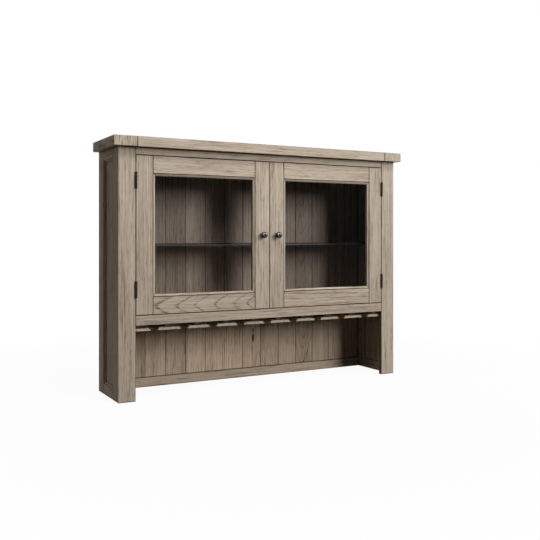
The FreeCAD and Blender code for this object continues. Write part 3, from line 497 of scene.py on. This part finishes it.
# Grain, and what differs from the defaults, of each wooden node.
WOOD = {
    "top_board": dict(grain="x", pith=(1.10, 0.12), lean=0.02, figure=0.22, tone=0.98),
    "top_end_left": dict(
        grain="y", pith=(0.30, 1.10), ring=0.0072, figure=1.9, tone=1.06, depth_share=0.12,
    ),
    "top_end_right": dict(grain="y", pith=(0.95, 1.00), tone=1.06),
    "front_post_left": dict(grain="z", pith=(-0.60, -0.01), lean=0.01, figure=0.22),
    "front_post_right": dict(grain="z", pith=(0.70, -0.02), lean=0.01, figure=0.22),
    "front_top_rail": dict(grain="x", pith=(1.05, -0.03), figure=0.25),
    "front_bottom_rail": dict(grain="x", pith=(0.28, -0.04), figure=0.35, tone=0.93),
    "left_door_bottom_rail": dict(grain="x", pith=(0.372, -0.0485), lean=-0.07, vee=0.17, figure=1.15),
    "right_door_bottom_rail": dict(
        grain="x", pith=(0.47, -0.03), lean=0.03, ring=0.013, figure=1.7, tone=1.06,
    ),
    "left_door_top_rail": dict(grain="x", pith=(1.02, -0.02), lean=0.01, figure=0.35),
    "right_door_top_rail": dict(grain="x", pith=(0.99, -0.03), lean=0.01, figure=0.35),
    "left_door_hinge_stile": dict(grain="z", pith=(-0.50, -0.03)),
    "left_door_meeting_stile": dict(grain="z", pith=(-0.10, -0.03), lean=0.02),
    "right_door_meeting_stile": dict(grain="z", pith=(0.11, -0.03), lean=-0.02),
    "right_door_hinge_stile": dict(grain="z", pith=(0.50, -0.03)),
    "left_door_beads": dict(grain="z", pith=(-0.40, 0.0)),
    "right_door_beads": dict(grain="z", pith=(0.40, 0.0)),
    # The warmth of the back boards and the back bottom rail is partly their own colour and partly painted
    # warm shade.
    "back_boards": dict(
        grain="z", pith=(0.0, 0.20), ring=0.0075, figure=0.70, tone=1.08, warmth=0.12, boards=0.095,
        knot=dict(across=0.054, along=0.178, width=0.0062, length=0.020),
        crown=dict(board=3.0, across=-0.012, lean=-0.105, vee=0.34, figure=0.45),
    ),
    "back_bottom_rail": dict(grain="x", pith=(0.06, 0.20), figure=0.45, tone=1.08, warmth=0.06),
    "back_top_rail": dict(grain="x", pith=(1.06, 0.20), figure=0.4),
    "cabinet_floor": dict(grain="x", pith=(0.30, 0.05), figure=0.4),
    "floor_bearers": dict(grain="y", pith=(0.0, 0.25)),
    "rack_webs": dict(grain="y", pith=(0.0, 0.25), tone=0.7),
    "side_mouldings": dict(grain="z", pith=(0.0, 0.05), tone=0.9),
}
SLATS = 10
for number in range(1, SLATS + 1):
    WOOD[f"rack_slat_{number}"] = dict(grain="y", pith=(0.1 * number - 0.5, 0.33), figure=0.4, tone=1.28)
for side, sign in SIDES:
    for part, grain, pith_across in (
        ("front_stile", "side", -0.05), ("rear_stile", "side", 0.20), ("panel", "side", 0.03),
        ("top_rail", "side_y", 1.03), ("bottom_rail", "side_y", -0.02),
    ):
        # The side pieces' warmth is painted warm shade.
        WOOD[f"side_{part}_{side}"] = dict(
            grain=grain, pith=(pith_across, sign * 0.60), tone=0.92, warmth=0.08,
        )

# Joints that show as dark lines on the front: distances from the middle of the cabinet, and heights.
OPENING_SIDE, OPENING_LOW, OPENING_HIGH = 0.605, 0.340, 0.980
TOP_JOINT_INSIDE, TOP_JOINT_OUTSIDE = 0.6042, 0.6058
DOOR_HINGE_EDGE, DOOR_MEETING_EDGE, DOOR_LOW, DOOR_HIGH = 0.603, 0.001, 0.342, 0.978
HINGE_STILE_LINE, MEETING_STILE_LINE = 0.5335, 0.0705
RAIL_HINGE_END, RAIL_MEETING_END, BOTTOM_RAIL_LINE, TOP_RAIL_LINE = 0.532, 0.072, 0.4115, 0.9085
for side, sign in SIDES:
    stile_ends = ((Z, DOOR_LOW), (Z, DOOR_HIGH))
    rail_ends = ((X, sign * RAIL_HINGE_END), (X, sign * RAIL_MEETING_END))
    for name, seams in {
        f"front_post_{side}": ((X, sign * OPENING_SIDE),),
        f"top_end_{side}": ((X, sign * TOP_JOINT_OUTSIDE),),
        f"{side}_door_hinge_stile": (
            (X, sign * DOOR_HINGE_EDGE), (X, sign * HINGE_STILE_LINE), *stile_ends,
        ),
        f"{side}_door_meeting_stile": (
            (X, sign * DOOR_MEETING_EDGE), (X, sign * MEETING_STILE_LINE), *stile_ends,
        ),
        f"{side}_door_top_rail": (*rail_ends, (Z, DOOR_HIGH), (Z, TOP_RAIL_LINE)),
        f"{side}_door_bottom_rail": (*rail_ends, (Z, DOOR_LOW), (Z, BOTTOM_RAIL_LINE)),
    }.items():
        WOOD[name]["seams"] = seams
WOOD["top_board"]["seams"] = ((X, -TOP_JOINT_INSIDE), (X, TOP_JOINT_INSIDE))
WOOD["front_top_rail"]["seams"] = ((X, -OPENING_SIDE), (X, OPENING_SIDE), (Z, OPENING_HIGH))
WOOD["front_bottom_rail"]["seams"] = ((X, -OPENING_SIDE), (X, OPENING_SIDE), (Z, OPENING_LOW))

# Nodes of solids that touch, or with vees or bevels of their own, whose arrises stay as they are.
SHARP = ("back_boards", "side_mouldings", "left_door_beads", "right_door_beads")
# How far the arrises are rounded: less where a piece has hinge beds or fine lines of its own.
ARRIS = 0.0015
FINE_ARRIS = {
    "front_post_left": 0.0005, "front_post_right": 0.0005, "top_board": 0.0008,
    "front_top_rail": 0.0008, "front_bottom_rail": 0.0008,
}
for side, _ in SIDES:
    FINE_ARRIS[f"{side}_door_hinge_stile"] = 0.0005
    for part in ("door_meeting_stile", "door_top_rail", "door_bottom_rail"):
        FINE_ARRIS[f"{side}_{part}"] = 0.0007
    for part in ("top_rail", "bottom_rail", "front_stile", "rear_stile"):
        FINE_ARRIS[f"side_{part}_{side}"] = 0.0008
GLASS_AND_METAL = {
    "hinge_post_leaves": BRONZE, "hinge_pins": BRONZE, "hinge_post_screws": ZINC, "shelf_pins": ZINC,
    "door_catches": PLASTIC, "glass_shelf": SHELF,
}
for side, _ in SIDES:
    GLASS_AND_METAL.update({
        f"{side}_door_pane": PANE, f"{side}_door_hinge_leaves": BRONZE,
        f"{side}_door_screws": ZINC, f"{side}_door_strike": ZINC,
    })
# Vertices closer than this are one, and faces that turn less than this are one plain face.
SAME_VERTEX = 0.00001
SAME_FACE = math.radians(0.5)
SHARP_EDGE = math.radians(30)
# Seeds of the grain are drawn from 0 up to this.
SEED_RANGE = 40.0


def dress(name, material):
    slots = nodes[name].data.materials
    slots.clear()
    slots.append(material)


def smooth(mesh):
    mesh.polygons.foreach_set("use_smooth", [True] * len(mesh.polygons))


def soften(piece, width):
    """Rounds the arrises of a CAD piece: its triangles are first joined to plain faces."""
    weld = piece.modifiers.new("weld", "WELD")
    weld.merge_threshold = SAME_VERTEX
    plain = piece.modifiers.new("plain", "DECIMATE")
    plain.decimate_type = "DISSOLVE"
    plain.angle_limit = SAME_FACE
    bevel = piece.modifiers.new("arris", "BEVEL")
    bevel.width = width
    bevel.segments = 2
    bevel.limit_method = "ANGLE"
    bevel.angle_limit = SHARP_EDGE
    bevel.use_clamp_overlap = False
    flat = piece.modifiers.new("flat", "WEIGHTED_NORMAL")
    flat.weight = 100
    smooth(piece.data)


for name, look in sorted(WOOD.items()):
    seed = random.Random(name).uniform(0.0, SEED_RANGE)
    dress(name, oak(f"oak_{name}", seed=seed, **look))
    if name not in SHARP:
        soften(nodes[name], FINE_ARRIS.get(name, ARRIS))
for name, material in GLASS_AND_METAL.items():
    dress(name, material)


# Knobs

# Distance from the door's face and radius, along the rose and then along the waisted neck.
ROSE = ((0.0, 0.0088), (0.0006, 0.0090), (0.0020, 0.0088), (0.0030, 0.0078))
NECK = ((0.0036, 0.0062), (0.0046, 0.0053), (0.0062, 0.0049), (0.0080, 0.0050))
# Radius at which the neck meets the ball, the ball's steps from there to its front, and steps round.
BALL_START, BALL_STEPS, ROUND_STEPS = 0.0054, 32, 64


def knob_profile(radius, stand):
    """Rose, neck and ball of a knob, whose ball has its centre at stand from the door's face."""
    points = [*ROSE, *NECK]
    start = math.asin(BALL_START / radius)
    for step in range(BALL_STEPS + 1):
        angle = start + (math.pi - start) * step / BALL_STEPS
        at_tip = step == BALL_STEPS
        points.append((stand - radius * math.cos(angle), 0.0 if at_tip else radius * math.sin(angle)))
    return points


def lathe(name, profile, centre):
    """A turned piece round a line along -Y: profile gives (distance from the door, radius)."""
    mesh = bpy.data.meshes.new(name)
    work = bmesh.new()
    turns = [2 * math.pi * step / ROUND_STEPS for step in range(ROUND_STEPS)]
    rings = []
    for reach, radius in profile:
        places = [
            (centre.x + radius * math.cos(turn), centre.y - reach, centre.z + radius * math.sin(turn))
            for turn in (turns if radius else turns[:1])
        ]
        rings.append([work.verts.new(place) for place in places])
    for near, far in zip(rings, rings[1:]):
        for step in range(ROUND_STEPS):
            following = (step + 1) % ROUND_STEPS
            corners = [near[step % len(near)], near[following % len(near)]]
            corners += [far[following % len(far)], far[step % len(far)]]
            work.faces.new(list(dict.fromkeys(corners)))
    bmesh.ops.recalc_face_normals(work, faces=work.faces)
    work.to_mesh(mesh)
    work.free()
    smooth(mesh)
    piece = bpy.data.objects.new(name, mesh)
    bpy.context.scene.collection.objects.link(piece)
    return piece


def make_knob(side):
    """A turned knob in the place of a door's CAD knob, and as large."""
    low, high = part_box(f"{side}_door_knob")
    door_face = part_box(f"{side}_door_meeting_stile")[0].y
    radius = (high.x - low.x) / 2
    centre = Vector(((low.x + high.x) / 2, door_face, (low.z + high.z) / 2))
    knob = lathe(f"{side}_knob_turned", knob_profile(radius, door_face - low.y - radius), centre)
    knob.data.materials.append(PEWTER)
    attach(knob, f"door_{side}")
    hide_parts(f"{side}_door_knob")
    return knob


knobs = [make_knob(side) for side, _ in SIDES]


# Floor, background and light

WHITE = (1.0, 1.0, 1.0)
FLOOR_REACH = 40.0
# The floor lies a little below the feet, so that the two faces don't coincide.
FLOOR_DROP = 0.0005
# The floor is plain white by this share up to the first distance from its middle, then more and
# more, and from the second distance on in full.
WHITE_SHARE, SHADOW_NEAR, SHADOW_FAR = 0.95, 0.8, 2.4
# The floor's paint for the light that bounces off it, and for the eye.
FLOOR_BOUNCE, FLOOR_PAINT = (0.10, 0.090, 0.078), (0.75, 0.75, 0.75)
AMBIENT = (0.060, 0.050, 0.039)
CARD_COLOUR = (0.95, 0.92, 1.0)
LAMPS = {
    "key": dict(
        place=(3.45, -8.0, 3.65), target=(0.0, -0.1, 0.6), size=(3.0, 4.1), power=491.0, mirrored=False,
    ),
    "side_key": dict(place=(2.9, -2.3, 2.7), target=(0.0, -0.1, 0.5), size=(0.5, 1.0), power=32.0),
    "high_key": dict(place=(-0.25, -1.02, 2.57), target=(0.0, -0.1, 0.8), size=(1.2, 0.6), power=28.0),
    "back_fill": dict(
        place=(-3.6, 2.6, 1.9), target=(-0.3, 0.1, 0.6), size=(2.4, 2.4), power=10.5,
        colour=(1.0, 0.68, 0.38), mirrored=False,
    ),
    "back_key": dict(
        place=(1.2, 6.0, 2.6), target=(0.0, 0.15, 0.5), size=(3.0, 2.4), power=290.0, mirrored=False,
    ),
    # The cards light the knobs alone, so that the round metal shows its highlights
    "left_card": dict(
        place=(-1.70, -0.60, 2.70), target=(-0.04, -0.14, 0.66), size=(3.4, 3.0), power=420.0,
        colour=CARD_COLOUR, only=knobs,
    ),
    "right_card": dict(
        place=(1.90, -0.60, 2.20), target=(0.04, -0.14, 0.66), size=(1.6, 2.2), power=160.0,
        colour=CARD_COLOUR, only=knobs,
    ),
}


def seen_directly(g):
    """1 for camera, glossy and transmission rays, but 0 for those on their way from a matt surface."""
    path = g.node("ShaderNodeLightPath").outputs
    mirrored = g.add(path["Is Camera Ray"], path["Is Glossy Ray"])
    seen = g.math("ADD", mirrored, path["Is Transmission Ray"], clamp=True)
    return g.times(seen, g.math("LESS_THAN", path["Diffuse Depth"], 0.5))


def make_floor():
    """A pale floor that keeps the object's soft shadow and runs out to plain white."""
    mesh = bpy.data.meshes.new("studio_floor")
    corners = [(x * FLOOR_REACH, y * FLOOR_REACH, 0.0) for x, y in ((-1, -1), (1, -1), (1, 1), (-1, 1))]
    mesh.from_pydata(corners, [], [(0, 1, 2, 3)])
    floor = bpy.data.objects.new("studio_floor", mesh)
    floor.location.z = -FLOOR_DROP
    bpy.context.scene.collection.objects.link(floor)
    material, g = new_material("studio_floor")
    seen = seen_directly(g)
    far = g.node("ShaderNodeVectorMath", {0: g.object_place()}, operation="LENGTH").outputs["Value"]
    white_share = g.between(far, SHADOW_NEAR, SHADOW_FAR, WHITE_SHARE, 1.0)
    matt = g.node("ShaderNodeBsdfDiffuse", {"Color": g.mix(seen, FLOOR_BOUNCE, FLOOR_PAINT)}).outputs[0]
    white = g.node("ShaderNodeEmission", {"Color": (*WHITE, 1.0), "Strength": 1.0}).outputs[0]
    g.finish(g.blend(g.times(seen, white_share), matt, white))
    mesh.materials.append(material)


def make_world():
    """White where it is seen, and a dim warm light on the object."""
    world = bpy.data.worlds.new("studio")
    world.use_nodes = True
    world.node_tree.nodes.clear()
    g = Graph(world.node_tree)
    colour = g.mix(seen_directly(g), AMBIENT, WHITE)
    surface = g.node("ShaderNodeBackground", {"Color": colour}).outputs[0]
    g.node("ShaderNodeOutputWorld", {"Surface": surface})
    bpy.context.scene.world = world


def softbox(name, place, target, size, power, colour=WHITE, mirrored=True, only=None):
    """A soft rectangular lamp. Glossy rays see it if it is mirrored. It lights all pieces, or only some."""
    lamp = bpy.data.lights.new(name, "AREA")
    lamp.shape = "RECTANGLE"
    lamp.size, lamp.size_y = size
    lamp.energy = power
    lamp.color = colour
    holder = bpy.data.objects.new(name, lamp)
    holder.location = place
    holder.rotation_euler = (Vector(target) - Vector(place)).to_track_quat("-Z", "Y").to_euler()
    holder.visible_camera = False
    holder.visible_glossy = mirrored
    if only:
        lit = bpy.data.collections.new(f"lit_by_{name}")
        for piece in only:
            lit.objects.link(piece)
        holder.light_linking.receiver_collection = lit
    bpy.context.scene.collection.objects.link(holder)


make_floor()
make_world()
for name, lamp in LAMPS.items():
    softbox(name, **lamp)


# Camera

# Level, turned to the right, and shifted down for upright verticals as in the photograph.
CAMERA_PLACE = (-1.554, -2.9583, 0.6559)
CAMERA_TURN = math.radians(-28.733)
CAMERA_LENS, CAMERA_SENSOR, CAMERA_SHIFT = 49.57, 36.0, -0.0629
CLIP_START, CLIP_END = 0.05, 200.0


def make_camera():
    camera = bpy.data.cameras.new("camera")
    camera.sensor_width = CAMERA_SENSOR
    camera.lens = CAMERA_LENS
    camera.shift_y = CAMERA_SHIFT
    camera.clip_start = CLIP_START
    camera.clip_end = CLIP_END
    holder = bpy.data.objects.new("camera", camera)
    holder.location = CAMERA_PLACE
    holder.rotation_euler = (math.radians(90.0), 0.0, CAMERA_TURN)
    bpy.context.scene.collection.objects.link(holder)
    bpy.context.scene.camera = holder


make_camera()
bpy.context.scene.view_settings.view_transform = "Standard"
